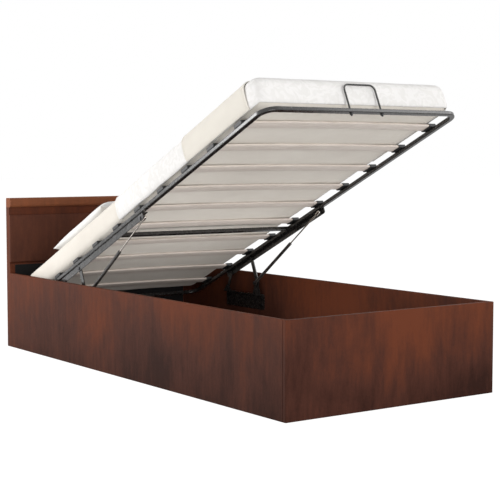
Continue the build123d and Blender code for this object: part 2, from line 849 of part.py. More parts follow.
def mattress_form(grow):
    """The mattress's rounded form, grown outwards by the same amount on every side."""
    with BuildPart() as form:
        with BuildSketch(level(mattress_bottom_w - grow)):
            with Locations((0, (mattress_foot_v + mattress_head_v) / 2)):
                RectangleRounded(
                    mattress_width + 2 * grow,
                    mattress_length + 2 * grow,
                    mattress_corner_radius + grow,
                )
        extrude(amount=mattress_depth + 2 * grow)
        faces = form.faces().sort_by(deck_normal)
        fillet(faces[0].edges() + faces[-1].edges(), mattress_edge_radius + grow)
    return form.part


# Mattress
with BuildPart() as mattress:
    add(mattress_form(0))
finish(mattress, "mattress")

# Quilt over the mattress, from the foot end to below the pillow
quilt_outside = cloth_gap + quilt_thickness
with BuildPart() as quilt:
    add(mattress_form(quilt_outside))
    add(mattress_form(cloth_gap), mode=Mode.SUBTRACT)
    split(bisect_by=level(quilt_hem_w), keep=Keep.TOP)
    split(bisect_by=across(quilt_head_v), keep=Keep.TOP)
finish(quilt, "quilt")

# Runner across the quilt
with BuildPart() as runner:
    add(mattress_form(quilt_outside + cloth_gap + runner_thickness))
    add(mattress_form(quilt_outside + cloth_gap), mode=Mode.SUBTRACT)
    split(bisect_by=level(quilt_hem_w), keep=Keep.TOP)
    split(bisect_by=across(runner_head_v), keep=Keep.TOP)
    split(bisect_by=across(runner_foot_v), keep=Keep.BOTTOM)
finish(runner, "runner")


# Pillow: wide at mid height with drawn-in sides, crowned above and below
pillow_bottom_w = mattress_bottom_w + mattress_depth + cloth_gap
pillow_crown_centre = pillow_thickness - pillow_crown_radius
pillow_crown_foot = pillow_crown_centre - pillow_crown_radius
with BuildPart() as pillow_form:
    with BuildSketch():
        with BuildLine():
            for side in (-1, 1):
                ThreePointArc(
                    (side * pillow_width / 2, -pillow_length / 2),
                    (side * (pillow_width / 2 - pillow_side_draw), 0),
                    (side * pillow_width / 2, pillow_length / 2),
                )
                ThreePointArc(
                    (-pillow_width / 2, side * pillow_length / 2),
                    (0, side * (pillow_length / 2 - pillow_side_draw)),
                    (pillow_width / 2, side * pillow_length / 2),
                )
        make_face()
        fillet(vertices(), radius=pillow_corner_radius)
    extrude(amount=pillow_thickness)
    with BuildSketch(Plane.XZ):
        with BuildLine():
            ThreePointArc(
                (-pillow_width / 2, pillow_crown_foot + pillow_crown_drop),
                (0, pillow_crown_foot),
                (pillow_width / 2, pillow_crown_foot + pillow_crown_drop),
            )
            Polyline(
                (pillow_width / 2, pillow_crown_foot + pillow_crown_drop),
                (pillow_width / 2, pillow_crown_foot + 2 * pillow_thickness),
                (-pillow_width / 2, pillow_crown_foot + 2 * pillow_thickness),
                (-pillow_width / 2, pillow_crown_foot + pillow_crown_drop),
            )
        make_face()
    revolve(axis=Axis((0, 0, pillow_crown_centre), (1, 0, 0)), mode=Mode.INTERSECT)
    fillet(faces().sort_by(Axis.Z)[-1].edges(), radius=pillow_top_edge)
    fillet(faces().sort_by(Axis.Z)[0].edges(), radius=pillow_bottom_edge)
pillow_place = deck.from_local_coords((0, pillow_middle_v, pillow_bottom_w))
with BuildPart(Plane(origin=pillow_place, x_dir=(1, 0, 0), z_dir=normal)) as pillow:
    add(pillow_form.part)
finish(pillow, "pillow")
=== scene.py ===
import logging
import math
from dataclasses import dataclass
from enum import Enum
from typing import Callable, Iterable, Optional, Sequence

import bmesh
import bpy
from mathutils import Matrix, Vector, noise


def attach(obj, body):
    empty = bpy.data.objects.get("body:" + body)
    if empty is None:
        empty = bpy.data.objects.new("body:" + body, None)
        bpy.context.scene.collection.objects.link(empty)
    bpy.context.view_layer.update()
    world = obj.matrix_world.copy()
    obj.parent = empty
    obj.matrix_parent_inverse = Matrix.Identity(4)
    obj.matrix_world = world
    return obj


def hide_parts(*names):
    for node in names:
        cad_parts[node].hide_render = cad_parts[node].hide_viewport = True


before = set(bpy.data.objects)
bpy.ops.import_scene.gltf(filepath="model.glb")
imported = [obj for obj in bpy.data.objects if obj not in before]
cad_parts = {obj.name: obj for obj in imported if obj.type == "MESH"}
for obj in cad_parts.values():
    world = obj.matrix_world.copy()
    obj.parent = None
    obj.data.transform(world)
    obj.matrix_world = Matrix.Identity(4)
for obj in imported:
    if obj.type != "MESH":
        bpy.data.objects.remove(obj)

LOG = logging.getLogger("ottoman_bed")

Triple = tuple[float, float, float]

# Distances too small to see, in metres
HAIR = 1e-5
TINY = 1e-9

# The stretch of a noise's values that moves a surface's roughness
WEAR = (0.3, 0.7)


def linear(code: str) -> tuple[float, float, float, float]:
    """Turn a hex colour into linear RGBA.

    Args:
        code: Six hex digits.

    Returns:
        Red, green, blue and alpha in linear light.
    """
    parts = [int(code[i : i + 2], 16) / 255 for i in (0, 2, 4)]
    light = [c / 12.92 if c <= 0.04045 else ((c + 0.055) / 1.055) ** 2.4 for c in parts]
    return (light[0], light[1], light[2], 1.0)


class Graph:
    """A thin helper for building a node tree."""

    def __init__(self, tree: bpy.types.NodeTree) -> None:
        """Keep the tree that nodes are added to."""
        self.tree = tree

    def add(self, kind: str, values: Optional[dict] = None, **settings: object) -> bpy.types.Node:
        """Add a node.

        Args:
            kind: The node's type name.
            values: Default values for its inputs, by name or number.
            settings: The node's own properties.

        Returns:
            The new node.
        """
        node = self.tree.nodes.new(kind)
        for name, value in settings.items():
            setattr(node, name, value)
        for key, value in (values or {}).items():
            node.inputs[key].default_value = value
        return node

    def fed(self, kind: str, links: dict, values: Optional[dict] = None, **settings: object
            ) -> bpy.types.NodeSocket:
        """Add a node with linked inputs.

        Args:
            kind: The node's type name.
            links: The socket that feeds each input, by name or number.
            values: Default values for its other inputs.
            settings: The node's own properties.

        Returns:
            Its first output.
        """
        node = self.add(kind, values, **settings)
        for key, source in links.items():
            self.link(source, node.inputs[key])
        return node.outputs[0]

    def link(self, source: bpy.types.NodeSocket, target: bpy.types.NodeSocket) -> None:
        """Join two sockets."""
        self.tree.links.new(source, target)

    def math(self, kind: str, first: object, second: object = 0.0) -> bpy.types.NodeSocket:
        """Add a math node fed by sockets or plain numbers.

        Args:
            kind: The operation.
            first: A socket or a number.
            second: A socket or a number.

        Returns:
            The result's socket.
        """
        node = self.add("ShaderNodeMath", operation=kind)
        for slot, value in enumerate((first, second)):
            if isinstance(value, bpy.types.NodeSocket):
                self.link(value, node.inputs[slot])
            else:
                node.inputs[slot].default_value = float(value)
        return node.outputs[0]

    def total(self, *terms: tuple[bpy.types.NodeSocket, float]) -> bpy.types.NodeSocket:
        """Add up values, each times its share."""
        scaled = [self.math("MULTIPLY", value, share) for value, share in terms]
        result = scaled[0]
        for value in scaled[1:]:
            result = self.math("ADD", result, value)
        return result

    def noise(self, vector: bpy.types.NodeSocket, scale: float, detail: float, rough: float = 0.55,
              distortion: float = 0.0) -> bpy.types.NodeSocket:
        """Add a noise texture and return its value."""
        node = self.add(
            "ShaderNodeTexNoise",
            {"Scale": scale, "Detail": detail, "Roughness": rough, "Distortion": distortion},
        )
        self.link(vector, node.inputs["Vector"])
        return node.outputs["Fac"]

    def stretched(self, scale: Triple = (1, 1, 1), turn: Triple = (0, 0, 0)) -> bpy.types.NodeSocket:
        """Give the object's own coordinates, scaled and turned."""
        place = self.add("ShaderNodeTexCoord")
        links = {"Vector": place.outputs["Object"]}
        return self.fed("ShaderNodeMapping", links, {"Scale": scale, "Rotation": turn})

    def separate(self, vector: bpy.types.NodeSocket) -> bpy.types.NodeOutputs:
        """Split a vector into its X, Y and Z."""
        node = self.add("ShaderNodeSeparateXYZ")
        self.link(vector, node.inputs[0])
        return node.outputs

    def along(self, axis: int, value: bpy.types.NodeSocket) -> bpy.types.NodeSocket:
        """Give a vector that lies along one axis."""
        return self.fed("ShaderNodeCombineXYZ", {axis: value})

    def ramp(self, factor: bpy.types.NodeSocket, stops: Sequence[tuple[float, str]]) -> bpy.types.NodeSocket:
        """Add a colour ramp with hex stops and return its colour."""
        node = self.add("ShaderNodeValToRGB")
        elements = node.color_ramp.elements
        while len(elements) < len(stops):
            elements.new(0.5)
        for element, (position, code) in zip(elements, stops):
            element.position = position
            element.color = linear(code)
        self.link(factor, node.inputs["Fac"])
        return node.outputs["Color"]

    def mix(self, kind: str, factor: object, first: object, second: object) -> bpy.types.NodeSocket:
        """Mix two colours, given as sockets or hex strings."""
        node = self.add("ShaderNodeMix", data_type="RGBA", blend_type=kind)
        for slot, value in ((0, factor), (6, first), (7, second)):
            if isinstance(value, bpy.types.NodeSocket):
                self.link(value, node.inputs[slot])
            elif isinstance(value, str):
                node.inputs[slot].default_value = linear(value)
            else:
                node.inputs[slot].default_value = value
        return node.outputs[2]

    def span(self, value: bpy.types.NodeSocket, low: float, high: float, to_low: float, to_high: float
             ) -> bpy.types.NodeSocket:
        """Map a value from one range to another, clamped."""
        node = self.add(
            "ShaderNodeMapRange",
            {"From Min": low, "From Max": high, "To Min": to_low, "To Max": to_high},
        )
        self.link(value, node.inputs["Value"])
        return node.outputs["Result"]

    def bump(self, height: bpy.types.NodeSocket, strength: float, depth: float,
             under: Optional[bpy.types.NodeSocket] = None) -> bpy.types.NodeSocket:
        """Add a bump node, over another's normal if given, and return its normal."""
        links = {"Height": height}
        if under is not None:
            links["Normal"] = under
        return self.fed("ShaderNodeBump", links, {"Strength": strength, "Distance": depth})

    def dress(self, shader: bpy.types.Node, colour: bpy.types.NodeSocket, wear: bpy.types.NodeSocket,
              rough: tuple[float, float], normal: bpy.types.NodeSocket) -> None:
        """Feed a shader.

        Args:
            shader: The shader.
            colour: Its colour.
            wear: The noise that moves its roughness.
            rough: The roughness at the noise's low and high ends.
            normal: Its bumped normal.
        """
        self.link(colour, shader.inputs["Base Color"])
        self.link(self.span(wear, *WEAR, *rough), shader.inputs["Roughness"])
        self.link(normal, shader.inputs["Normal"])


def new_material(name: str, colour: str, roughness: float, **values: object
                 ) -> tuple[bpy.types.Material, Graph, bpy.types.Node]:
    """Make a material with plain values on its shader.

    Args:
        name: The material's name.
        colour: The shader's plain colour as hex.
        roughness: The shader's roughness.
        values: Other shader inputs, with underscores for spaces.

    Returns:
        The material, its graph and its shader.
    """
    material = bpy.data.materials.new(name)
    material.use_nodes = True
    graph = Graph(material.node_tree)
    shader = material.node_tree.nodes["Principled BSDF"]
    shader.inputs["Base Color"].default_value = linear(colour)
    shader.inputs["Roughness"].default_value = roughness
    for key, value in values.items():
        shader.inputs[key.replace("_", " ")].default_value = value
    return material, graph, shader


@dataclass(frozen=True)
class Leathercloth:
    """Antiqued leathercloth: cloudy brown with rust patches, fine vertical streaks and a pressed grain."""

    name: str = "leathercloth"
    dark: str = "2F1A14"
    base: str = "472920"
    rust: str = "623422"
    rim_height: float = 0.336
    painted_light_swing: float = 0.085
    cloud_share: float = 0.62
    streak_share: float = 0.26
    fleck_share: float = 0.12
    grain_share: float = 0.6

    def make(self) -> bpy.types.Material:
        """Build the material, with painted light towards the rim of the base and painted shade towards the
        floor.
        """
        material, g, shader = new_material(self.name, self.base, 0.5, Specular_IOR_Level=0.05)
        clouds = g.noise(g.stretched((1.0, 1.0, 0.55)), scale=3.4, detail=5.0, rough=0.6, distortion=0.4)
        streaks = g.noise(g.stretched((9.0, 9.0, 1.6)), scale=5.0, detail=6.0, rough=0.65)
        flecks = g.noise(g.stretched((1.0, 1.0, 0.6)), scale=150.0, detail=4.0, rough=0.7)
        height = g.separate(g.stretched())["Z"]
        # painted shade and light: the tone darkens towards the floor and lightens towards the rim by height
        # alone
        rise = g.span(height, 0.0, self.rim_height, -self.painted_light_swing, self.painted_light_swing)
        tone = g.total(
            (clouds, self.cloud_share), (streaks, self.streak_share), (flecks, self.fleck_share), (rise, 1.0)
        )
        colour = g.ramp(tone, [(0.34, self.dark), (0.49, self.base), (0.66, self.rust)])
        pores = g.fed("ShaderNodeTexVoronoi", {"Vector": g.stretched()}, {"Scale": 620.0, "Randomness": 1.0})
        wrinkle = g.noise(g.stretched(), scale=260.0, detail=3.0, rough=0.6)
        grain = g.total((pores, self.grain_share), (wrinkle, self.grain_share))
        g.dress(shader, colour, clouds, (0.46, 0.6), g.bump(grain, strength=0.35, depth=0.0005))
        return material


@dataclass(frozen=True)
class PowderCoat:
    """Glossy black powder coat with a faint orange-peel surface."""

    name: str = "black_powder_coat"
    colour: str = "201E1D"
    roughness: float = 0.24
    smoother: float = 0.05
    rougher: float = 0.1

    def make(self) -> bpy.types.Material:
        """Build the material."""
        material, g, shader = new_material(
            self.name, self.colour, self.roughness,
            Specular_IOR_Level=0.6, Coat_Weight=0.35, Coat_Roughness=0.12,
        )
        wear = g.noise(g.stretched(), scale=40.0, detail=5.0, rough=0.6)
        colour = g.ramp(wear, [(0.3, "171615"), (0.6, self.colour), (0.8, "2C2A29")])
        rough = (self.roughness - self.smoother, self.roughness + self.rougher)
        peel = g.noise(g.stretched(), scale=700.0, detail=2.0)
        g.dress(shader, colour, wear, rough, g.bump(peel, strength=0.12, depth=0.0004))
        return material


@dataclass(frozen=True)
class BareMetal:
    """Plated or chromed steel with fine brushing."""

    name: str
    colour: str
    roughness: float
    brushing: float = 0.1
    smoothest: float = 0.8
    roughest: float = 1.3

    def make(self) -> bpy.types.Material:
        """Build the material."""
        material, g, shader = new_material(self.name, self.colour, self.roughness, Metallic=1.0)
        lines = g.noise(g.stretched((60.0, 60.0, 900.0)), scale=1.0, detail=3.0)
        stain = g.noise(g.stretched(), scale=90.0, detail=4.0)
        colour = g.mix("MULTIPLY", 0.25, self.colour, g.ramp(stain, [(0.3, "B8B4AE"), (0.7, "FFFFFF")]))
        rough = (self.roughness * self.smoothest, self.roughness * self.roughest)
        g.dress(shader, colour, lines, rough, g.bump(lines, self.brushing, depth=0.0002))
        return material


@dataclass(frozen=True)
class SlatFilm:
    """Bent beech slats under a pale film, with grain along the slat."""

    name: str = "slat_film"

    def make(self) -> bpy.types.Material:
        """Build the material."""
        material, g, shader = new_material(self.name, "BDAEA2", 0.42, Specular_IOR_Level=0.45)
        rings = g.noise(g.stretched((2.0, 60.0, 60.0)), scale=4.0, detail=7.0, rough=0.7, distortion=0.3)
        pores = g.noise(g.stretched((14.0, 700.0, 700.0)), scale=1.0, detail=3.0, rough=0.6)
        wood = g.ramp(rings, [(0.25, "D0C4BA"), (0.5, "DDD3CA"), (0.78, "E8E0D9")])
        colour = g.mix("MULTIPLY", 0.3, wood, g.ramp(pores, [(0.35, "A08F83"), (0.6, "FFFFFF")]))
        g.dress(shader, colour, rings, (0.36, 0.52), g.bump(pores, strength=0.18, depth=0.0003))
        return material


@dataclass(frozen=True)
class MouldedPlastic:
    """Matt black moulded plastic with a spark-eroded texture."""

    name: str = "cap_plastic"
    colour: str = "1A1A1B"

    def make(self) -> bpy.types.Material:
        """Build the material."""
        material, g, shader = new_material(self.name, self.colour, 0.48)
        speck = g.noise(g.stretched(), scale=900.0, detail=3.0, rough=0.7)
        colour = g.ramp(speck, [(0.35, "131314"), (0.7, "242426")])
        g.dress(shader, colour, speck, (0.4, 0.58), g.bump(speck, strength=0.3, depth=0.0003))
        return material


@dataclass(frozen=True)
class BareBoard:
    """Hardboard and softwood of the storage floor."""

    name: str
    light: str
    dark: str

    def make(self) -> bpy.types.Material:
        """Build the material."""
        material, g, shader = new_material(self.name, self.light, 0.68)
        grain = g.noise(g.stretched((40.0, 3.0, 40.0)), scale=4.0, detail=7.0, rough=0.7, distortion=0.4)
        fibre = g.noise(g.stretched(), scale=420.0, detail=5.0, rough=0.7)
        wood = g.ramp(grain, [(0.3, self.dark), (0.7, self.light)])
        colour = g.mix("MULTIPLY", 0.35, wood, g.ramp(fibre, [(0.3, "8C8078"), (0.65, "FFFFFF")]))
        g.dress(shader, colour, fibre, (0.6, 0.78), g.bump(fibre, strength=0.3, depth=0.0005))
        return material


class Weave(Enum):
    """How a cloth's threads lie."""

    PLAIN = "plain"
    FELT = "felt"
    DAMASK = "damask"


@dataclass(frozen=True)
class Cloth:
    """A cloth with threads, soft creases and a slight sheen, on the deck's own directions."""

    name: str
    colour: str
    shade: str
    weave: Weave
    tilt: float
    pitch: float = 0.0016
    crease: float = 0.35
    crease_depth: float = 0.006
    thread_bump: float = 0.25
    thread_depth: float = 0.0006
    thread_share: float = 0.12
    leaf_share: float = 0.45

    def make(self) -> bpy.types.Material:
        """Build the material."""
        material, g, shader = new_material(
            self.name, self.colour, 0.88, Specular_IOR_Level=0.2, Sheen_Weight=0.12, Sheen_Roughness=0.5
        )
        flat = g.stretched(turn=(self.tilt, 0, 0))
        fine = g.noise(flat, scale=500.0, detail=3.0, rough=0.7)
        soft = g.noise(flat, scale=9.0, detail=4.0, rough=0.5, distortion=0.6)
        tone = g.noise(flat, scale=4.0, detail=5.0, rough=0.6, distortion=0.3)
        if self.weave is Weave.DAMASK:
            leaf = g.noise(flat, scale=22.0, detail=2.0, rough=0.4, distortion=2.4)
            leaf = g.span(leaf, 0.44, 0.56, 0.0, 1.0)
            tone = g.total((tone, 1 - self.leaf_share), (leaf, self.leaf_share))
        if self.weave is not Weave.FELT:
            turns = 2 * math.pi / self.pitch
            threads = [g.math("SINE", g.math("MULTIPLY", axis, turns)) for axis in g.separate(flat)]
            weave = g.total(*[(thread, 1.0) for thread in threads])
            fine = g.total((weave, self.thread_share), (fine, 1.0))
        g.link(g.ramp(tone, [(0.25, self.shade), (0.7, self.colour)]), shader.inputs["Base Color"])
        creases = g.bump(soft, self.crease, self.crease_depth)
        g.link(g.bump(fine, self.thread_bump, self.thread_depth, creases), shader.inputs["Normal"])
        return material


@dataclass(frozen=True)
class DeckFrame:
    """The lifted deck's own axes: x across, v along to the head end, w square to it, in metres."""

    tilt: float = math.radians(24.5)
    middle_y: float = 0.0040006
    middle_z: float = 0.6280024

    def matrix(self) -> Matrix:
        """Give the matrix from deck axes to the bed's frame."""
        return Matrix.Translation((0, self.middle_y, self.middle_z)) @ Matrix.Rotation(-self.tilt, 4, "X")

    def place(self, mesh: bpy.types.Mesh) -> None:
        """Move a mesh from deck axes to the bed's frame."""
        mesh.transform(self.matrix())


def add_object(name: str, mesh: bpy.types.Mesh, material: bpy.types.Material, smooth: bool = True
               ) -> bpy.types.Object:
    """Link a new object with one material.

    Args:
        name: The piece's name.
        mesh: Its mesh, in the bed's frame.
        material: Its material.
        smooth: Whether its faces are shaded smooth.

    Returns:
        The object.
    """
    mesh.materials.clear()
    mesh.materials.append(material)
    mesh.polygons.foreach_set("use_smooth", [smooth] * len(mesh.polygons))
    piece = bpy.data.objects.new(name, mesh)
    bpy.context.scene.collection.objects.link(piece)
    return piece


def applied(piece: bpy.types.Object) -> bpy.types.Object:
    """Turn a piece's modifiers into plain mesh.

    Args:
        piece: The piece with live modifiers.

    Returns:
        The same piece with no modifier.
    """
    evaluated = piece.evaluated_get(bpy.context.evaluated_depsgraph_get())
    mesh = bpy.data.meshes.new_from_object(evaluated)
    materials = [slot.material for slot in piece.material_slots]
    piece.modifiers.clear()
    piece.data = mesh
    mesh.materials.clear()
    for material in materials:
        mesh.materials.append(material)
    return piece


def softened(piece: bpy.types.Object) -> bpy.types.Object:
    """Subdivide a piece once and turn its modifiers into plain mesh."""
    soft = piece.modifiers.new("soft", "SUBSURF")
    soft.levels = soft.render_levels = 1
    return applied(piece)


def box_surface(low: Vector, high: Vector, step: float, keep: Callable[[Vector], bool]) -> bmesh.types.BMesh:
    """Make the gridded surface of a box, only where a test holds.

    Args:
        low: The lowest corner.
        high: The highest corner.
        step: The grid's rough spacing.
        keep: Tests the middle of each face.

    Returns:
        The surface, with its corners still sharp.
    """
    mesh = bmesh.new()
    counts = [max(2, round((high[i] - low[i]) / step)) for i in range(3)]
    found: dict[tuple[int, int, int], bmesh.types.BMVert] = {}

    def place(index: Sequence[int]) -> Vector:
        """Give a grid point's place."""
        return Vector([low[i] + (high[i] - low[i]) * index[i] / counts[i] for i in range(3)])

    def vertex(index: tuple[int, int, int]) -> bmesh.types.BMVert:
        """Give the shared vertex of a grid point."""
        if index not in found:
            found[index] = mesh.verts.new(place(index))
        return found[index]

    for axis in range(3):
        one, two = (axis + 1) % 3, (axis + 2) % 3
        for end in (0, counts[axis]):
            for a in range(counts[one]):
                for b in range(counts[two]):
                    corners = []
                    for da, db in ((0, 0), (1, 0), (1, 1), (0, 1)):
                        index = [0, 0, 0]
                        index[axis], index[one], index[two] = end, a + da, b + db
                        corners.append(tuple(index))
                    if end == 0:
                        corners.reverse()
                    if keep(sum([place(corner) for corner in corners], Vector()) / 4):
                        mesh.faces.new([vertex(c) for c in corners])
    return mesh


def round_off(mesh: bmesh.types.BMesh, low: Vector, high: Vector, radius: float) -> None:
    """Round a box surface's edges and corners.

    Args:
        mesh: The surface.
        low: The box's lowest corner.
        high: The box's highest corner.
        radius: The radius of every edge.
    """
    for vertex in mesh.verts:
        inner = Vector([min(max(vertex.co[i], low[i] + radius), high[i] - radius) for i in range(3)])
        away = vertex.co - inner
        if away.length > TINY:
            vertex.co = inner + away.normalized() * radius


@dataclass
class Bedding:
    """The soft parts on the deck: mattress, quilt, runner and pillow, in metres.

    Places along the deck are named v, head or foot, and heights square to it are named w.
    """

    deck: DeckFrame
    half_width: float = 0.435
    foot_v: float = -0.9595
    head_v: float = 0.9795
    bottom_w: float = 0.0093
    top_w: float = 0.1188
    edge: float = 0.033
    mattress_grid: float = 0.016
    border_swell: float = 0.0022
    tucked_share: float = 0.9975
    tuck_overlap: float = 0.01
    gap: float = 0.0004
    hem_w: float = 0.014
    flare: float = 0.0016
    flare_top_w: float = 0.09
    flare_height: float = 0.08
    flare_band: float = 0.02
    fold_waves: tuple[float, float] = (21.0, 8.3)
    quilt_thickness: float = 0.0055
    quilt_head: float = 0.083
    quilt_past_foot: float = 1.0
    quilt_grid: float = 0.016
    runner_thickness: float = 0.0034
    runner_head: float = -0.471
    runner_foot: float = -0.906
    runner_lift: float = 0.0016
    runner_grid: float = 0.014
    pillow_width: float = 0.80
    pillow_length: float = 0.508
    pillow_thickness: float = 0.100
    pillow_v: float = 0.527
    pillow_above: float = 0.001
    pillow_lowest: float = 0.0008
    pillow_seam: float = 0.44
    pillow_draw: tuple[float, float] = (0.022, 0.035)
    pillow_slack: Triple = (0.985, 0.98, 0.97)
    pillow_grid: tuple[int, int] = (72, 46)
    pillow_puff: float = 0.012

    def corners(self, grow: float) -> tuple[Vector, Vector]:
        """Give the mattress box grown by an amount."""
        low = Vector((-self.half_width - grow, self.foot_v - grow, self.bottom_w - grow))
        high = Vector((self.half_width + grow, self.head_v + grow, self.top_w + grow))
        return low, high

    def ripple(self, mesh: bmesh.types.BMesh, height: float, size: float, seed: float,
               outwards: bool = False) -> None:
        """Move a surface along its normals by smooth noise.

        Args:
            mesh: The surface.
            height: The largest move.
            size: The noise's wavelength.
            seed: An offset that makes pieces differ.
            outwards: Whether the surface only swells.
        """
        mesh.normal_update()
        for vertex in mesh.verts:
            spot = vertex.co / size + Vector((seed, seed * 0.7, seed * 1.3))
            amount = noise.fractal(spot, 1.0, 2.0, 3)
            if outwards:
                amount = 0.5 + 0.5 * max(-1.0, min(1.0, amount))
            vertex.co += vertex.normal * height * amount

    def settled(self, mesh: bmesh.types.BMesh, name: str, material: bpy.types.Material) -> bpy.types.Object:
        """Turn a surface in deck axes into a piece in the bed's frame."""
        data = bpy.data.meshes.new(name)
        mesh.to_mesh(data)
        mesh.free()
        self.deck.place(data)
        return add_object(name, data, material)

    def make_mattress(self, material: bpy.types.Material) -> bpy.types.Object:
        """Build the mattress: soft edges, a faint ripple and a gently swollen border above the quilt."""
        low, high = self.corners(0.0)
        mesh = box_surface(low, high, self.mattress_grid, lambda spot: True)
        round_off(mesh, low, high, self.edge)
        middle, half = (low.z + high.z) / 2, (high.z - low.z) / 2
        between_faces = 0.999
        for vertex in mesh.verts:
            side = (vertex.co.z - middle) / half
            covered = vertex.co.y < self.quilt_head + self.tuck_overlap
            if not covered and abs(vertex.co.x) > self.half_width - self.edge:
                vertex.co.x += math.copysign(self.border_swell * (1 - side * side), vertex.co.x)
            if covered and abs(side) < between_faces:
                vertex.co.x *= self.tucked_share
        self.ripple(mesh, height=0.0009, size=0.11, seed=3.0)
        mesh.normal_update()
        piece = self.settled(mesh, "mattress_foam", material)
        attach(piece, "deck")
        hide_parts("mattress")
        return piece

    def make_cover(self, name: str, material: bpy.types.Material, grow: float, thickness: float,
                   head: float, foot: float, step: float, seed: float) -> bpy.types.Object:
        """Build a cloth that wraps the mattress between two places along it.

        Args:
            name: The piece's name.
            material: Its cloth.
            grow: How far its outer face stands off the mattress.
            thickness: Its own thickness.
            head: Its edge towards the head end.
            foot: Its edge towards the foot end.
            step: The grid's spacing.
            seed: Makes its folds differ from the others'.

        Returns:
            The piece.
        """
        low, high = self.corners(grow)
        start = max(low.y, foot)
        low_cut = Vector((low.x, start, self.hem_w))
        cut_foot = foot > low.y

        def kept(spot: Vector) -> bool:
            """Leave out the underside and the cut ends."""
            if spot.z < self.hem_w + HAIR or spot.y > head - HAIR:
                return False
            return not (cut_foot and spot.y < start + HAIR)

        mesh = box_surface(low_cut, Vector((high.x, head, high.z)), step, kept)
        round_off(mesh, low, high, self.edge + grow)
        for vertex in mesh.verts:
            drop = max(0.0, min(1.0, (self.flare_top_w - vertex.co.z) / self.flare_height))
            if drop > 0 and abs(vertex.co.x) > self.half_width - self.flare_band:
                first, second = (vertex.co.y * wave for wave in self.fold_waves)
                fold = math.sin(first + seed) * math.sin(second + seed * 2)
                vertex.co.x += math.copysign(self.flare * drop * (1 + fold), vertex.co.x)
        self.ripple(mesh, height=0.0016, size=0.13, seed=seed, outwards=True)
        piece = self.settled(mesh, name, material)
        wall = piece.modifiers.new("wall", "SOLIDIFY")
        wall.thickness = thickness
        wall.offset = -1.0
        wall.use_even_offset = False
        return softened(piece)

    def make_quilt(self, material: bpy.types.Material) -> bpy.types.Object:
        """Build the white quilt from below the pillow down over the foot end."""
        piece = self.make_cover(
            "quilt_cover", material, self.gap + self.quilt_thickness, self.quilt_thickness,
            self.quilt_head, self.foot_v - self.quilt_past_foot, self.quilt_grid, seed=1.7,
        )
        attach(piece, "deck")
        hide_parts("quilt")
        return piece

    def make_runner(self, material: bpy.types.Material) -> bpy.types.Object:
        """Build the beige runner that lies across the quilt."""
        grow = self.gap * 2 + self.quilt_thickness + self.runner_thickness
        piece = self.make_cover(
            "bed_runner", material, grow + self.runner_lift, self.runner_thickness,
            self.runner_head, self.runner_foot, self.runner_grid, seed=4.1,
        )
        cut_width = 2 * (self.half_width - self.edge) + math.pi * (self.edge + grow)
        cut_width += 2 * (self.top_w - self.edge - self.hem_w)
        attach(piece, "deck")
        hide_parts("runner")
        return piece

    def pillow_shape(self, a: float, b: float, side: int) -> Vector:
        """Give a point of the pillow before it is puffed up.

        Args:
            a: From -1 to 1 across the bed.
            b: From -1 to 1 along the bed.
            side: 1 for the upper face, -1 for the lower.

        Returns:
            The point in deck axes.
        """

        def fullness(share: float, power: float, root: float) -> float:
            """Fall from 1 in the middle to 0 at the seam."""
            return max(0.0, 1 - abs(share) ** power) ** root

        draw_x = 1 - self.pillow_draw[0] * (1 - b * b)
        draw_y = 1 - self.pillow_draw[1] * (1 - a * a)
        rise = fullness(a, power=5.0, root=0.48) * fullness(b, power=3.2, root=0.5)
        middle = self.pillow_seam * self.pillow_thickness
        half = self.pillow_thickness - middle if side > 0 else middle
        slack_x, slack_y, slack_w = self.pillow_slack
        return Vector(
            (
                a * self.pillow_width / 2 * draw_x * slack_x,
                self.pillow_v + b * self.pillow_length / 2 * draw_y * slack_y,
                self.top_w + self.pillow_above + middle + side * half * rise * slack_w,
            )
        )

    def make_pillow(self, material: bpy.types.Material) -> bpy.types.Object:
        across, along = self.pillow_grid
        mesh = bmesh.new()
        grid: dict[tuple[int, int, int], bmesh.types.BMVert] = {}
        for i in range(across + 1):
            for j in range(along + 1):
                a = math.sin((i / across - 0.5) * math.pi)
                b = math.sin((j / along - 0.5) * math.pi)
                edge = i in (0, across) or j in (0, along)
                for side in (1, -1):
                    if edge and side < 0:
                        grid[i, j, side] = grid[i, j, 1]
                    else:
                        grid[i, j, side] = mesh.verts.new(self.pillow_shape(a, b, side))
        for i in range(across):
            for j in range(along):
                for side in (1, -1):
                    loop = [grid[i + di, j + dj, side] for di, dj in ((0, 0), (1, 0), (1, 1), (0, 1))]
                    mesh.faces.new(loop if side > 0 else loop[::-1])
        data = bpy.data.meshes.new("pillow_case")
        mesh.to_mesh(data)
        mesh.free()
        piece = add_object("pillow_case", data, material)
        self.puff(piece, self.pillow_puff)
        for vertex in piece.data.vertices:
            vertex.co.z = max(vertex.co.z, self.top_w + self.pillow_lowest)
        self.deck.place(piece.data)
        softened(piece)
        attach(piece, "deck")
        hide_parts("pillow")
        return piece

    def puff(self, piece: bpy.types.Object, cap: float) -> None:
        """Swell a stuffed piece with a short cloth simulation.

        Args:
            piece: The piece, with no modifier yet.
            cap: The furthest that a point may move.
        """
        before = [vertex.co.copy() for vertex in piece.data.vertices]
        frames = 20
        cloth = piece.modifiers.new("cloth", "CLOTH")
        settings = cloth.settings
        settings.quality = 6
        settings.mass = 0.25
        settings.use_pressure = True
        settings.uniform_pressure_force = 4.0
        settings.tension_stiffness = settings.compression_stiffness = 12.0
        settings.bending_stiffness = 0.4
        settings.effector_weights.gravity = 0.0
        cloth.point_cache.frame_start, cloth.point_cache.frame_end = 1, frames
        scene = bpy.context.scene
        for number in range(1, frames + 1):
            scene.frame_set(number)
        applied(piece)
        scene.frame_set(1)
        for vertex, old in zip(piece.data.vertices, before):
            move = vertex.co - old
            if move.length > cap:
                vertex.co = old + move.normalized() * cap


